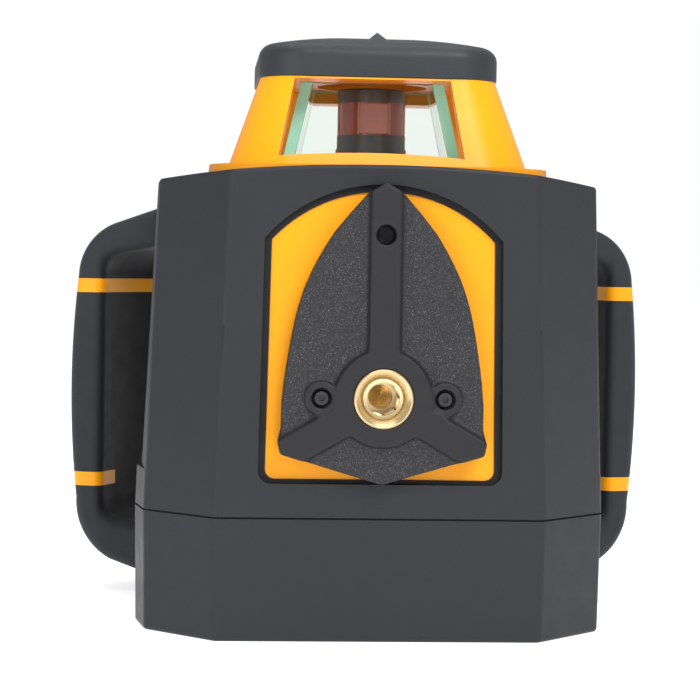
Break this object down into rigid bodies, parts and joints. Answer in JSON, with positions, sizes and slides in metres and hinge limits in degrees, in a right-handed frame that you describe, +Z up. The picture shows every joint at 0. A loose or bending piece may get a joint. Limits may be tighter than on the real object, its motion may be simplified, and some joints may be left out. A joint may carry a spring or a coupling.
{
  "type": "rotating laser level",
  "caption": "Rotating laser level with two carrying handles, a glazed lantern over a spinning head, and threaded tripod sockets below and at the front.",
  "frame": {"origin": "on the rotor's axis, in the plane the base stands on, at the mouth of the tripod socket", "axes": "+Z up along the rotor's axis, -Y out of the side mounting socket, X across the handles"},
  "size_m": [0.2664, 0.1973, 0.2534],
  "materials": {
    "charcoal_plastic": "fine moulded grain",
    "orange_plastic": "satin gloss",
    "grip_rubber": "soft matte",
    "cast_plate": "coarse powder coat",
    "brass": "turned",
    "black_steel": "black oxide",
    "steel": "ground",
    "aluminium": "machined",
    "pane_glass": "float glass",
    "red_window": "red filter",
    "optical_glass": "polished",
    "black_plastic": "satin",
    "key_rubber": "silicone",
    "gasket_rubber": "matte",
    "board_green": "solder mask",
    "cell_wrap": "printed sleeve",
    "light_red": "clear lens"
  },
  "bodies": {
    "housing": {"main_housing": "charcoal_plastic", "base_housing": "charcoal_plastic", "seam_gasket": "gasket_rubber", "housing_screws": "steel", "front_panel": "orange_plastic", "panel_gasket": "gasket_rubber", "mount_plate": "cast_plate", "side_socket": "brass", "plate_screws": "black_steel", "lantern_frame": "orange_plastic", "side_panes": "pane_glass", "end_panes": "pane_glass", "top_cap": "charcoal_plastic", "cap_screws": "black_steel", "left_handle": "grip_rubber", "left_handle_bands": "orange_plastic", "right_handle": "grip_rubber", "right_handle_bands": "orange_plastic", "handle_screws": "steel", "tripod_plate": "aluminium", "tripod_socket": "brass", "tripod_plate_screws": "steel", "plumb_window": "optical_glass", "battery_cells": "cell_wrap", "battery_contacts": "steel", "hinge_pin": "steel", "chassis": "aluminium", "levelling_motors": "steel", "lead_screws": "steel", "main_board": "board_green", "board_parts": "black_plastic", "control_panel": "black_plastic", "status_lights": "light_red"},
    "gimbal": {"gimbal_ring": "aluminium", "gimbal_outer_pins": "steel"},
    "platform": {"laser_platform": "aluminium", "gimbal_inner_pins": "steel", "laser_module": "brass", "collimator_lens": "optical_glass", "spin_motor": "steel", "drive_belt": "gasket_rubber", "spindle_bearings": "steel"},
    "rotor": {"spindle": "steel", "rotor_base": "black_plastic", "rotor_window": "red_window", "rotor_cap": "black_plastic", "prism_holder": "aluminium", "pentaprism": "optical_glass"},
    "motor_rotor": {"motor_pulley": "brass"},
    "nut_x": {"tilt_x_nut": "brass"},
    "nut_y": {"tilt_y_nut": "brass"},
    "door": {"battery_door": "charcoal_plastic", "door_springs": "steel"},
    "door_fastener": {"door_screw": "steel"},
    "power_key_body": {"power_key": "key_rubber"},
    "speed_key_body": {"speed_key": "key_rubber"},
    "scan_key_body": {"scan_key": "key_rubber"},
    "tilt_key_body": {"tilt_key": "key_rubber"},
    "arrow_left_key_body": {"arrow_left_key": "key_rubber"},
    "arrow_right_key_body": {"arrow_right_key": "key_rubber"}
  },
  "joints": [
    {"name": "tilt_x", "type": "hinge", "parent": "housing", "child": "gimbal", "pos_m": [0, 0, 0.15], "axis": [1, 0, 0], "range_deg": [-5, 5]},
    {"name": "tilt_y", "type": "hinge", "parent": "gimbal", "child": "platform", "pos_m": [0, 0, 0.15], "axis": [0, 1, 0], "range_deg": [-5, 5]},
    {"name": "rotor_spin", "type": "hinge", "parent": "platform", "child": "rotor", "pos_m": [0, 0, 0.178], "axis": [0, 0, 1], "continuous": true},
    {"name": "motor_spin", "type": "hinge", "parent": "platform", "child": "motor_rotor", "pos_m": [0.027, 0, 0.178], "axis": [0, 0, 1], "continuous": true},
    {"name": "nut_x_travel", "type": "slide", "parent": "housing", "child": "nut_x", "axis": [0, 0, 1], "range_m": [-0.0055, 0.0055]},
    {"name": "nut_y_travel", "type": "slide", "parent": "housing", "child": "nut_y", "axis": [0, 0, 1], "range_m": [-0.0057, 0.0057]},
    {"name": "door_hinge", "type": "hinge", "parent": "housing", "child": "door", "pos_m": [0, 0.0771, 0.0425], "axis": [1, 0, 0], "range_deg": [0, 95]},
    {"name": "door_screw_turn", "type": "hinge", "parent": "door", "child": "door_fastener", "pos_m": [0, 0.078, 0.012], "axis": [0, 1, 0], "continuous": true},
    {"name": "power_key_press", "type": "slide", "parent": "housing", "child": "power_key_body", "axis": [0, -1, 0], "range_m": [0, 0.0008], "stiffness_N_per_m": 800, "springref_m": -0.0003},
    {"name": "speed_key_press", "type": "slide", "parent": "housing", "child": "speed_key_body", "axis": [0, -1, 0], "range_m": [0, 0.0008], "stiffness_N_per_m": 800, "springref_m": -0.0003},
    {"name": "scan_key_press", "type": "slide", "parent": "housing", "child": "scan_key_body", "axis": [0, -1, 0], "range_m": [0, 0.0008], "stiffness_N_per_m": 800, "springref_m": -0.0003},
    {"name": "tilt_key_press", "type": "slide", "parent": "housing", "child": "tilt_key_body", "axis": [0, -1, 0], "range_m": [0, 0.0008], "stiffness_N_per_m": 800, "springref_m": -0.0003},
    {"name": "arrow_left_key_press", "type": "slide", "parent": "housing", "child": "arrow_left_key_body", "axis": [0, -1, 0], "range_m": [0, 0.0008], "stiffness_N_per_m": 800, "springref_m": -0.0003},
    {"name": "arrow_right_key_press", "type": "slide", "parent": "housing", "child": "arrow_right_key_body", "axis": [0, -1, 0], "range_m": [0, 0.0008], "stiffness_N_per_m": 800, "springref_m": -0.0003}
  ],
  "couplings": [
    {"joint": "motor_spin", "follows": "rotor_spin", "ratio": 3},
    {"joint": "nut_x_travel", "follows": "tilt_x", "m_per_rad": -0.058},
    {"joint": "nut_y_travel", "follows": "tilt_y", "m_per_rad": 0.0625}
  ]
}
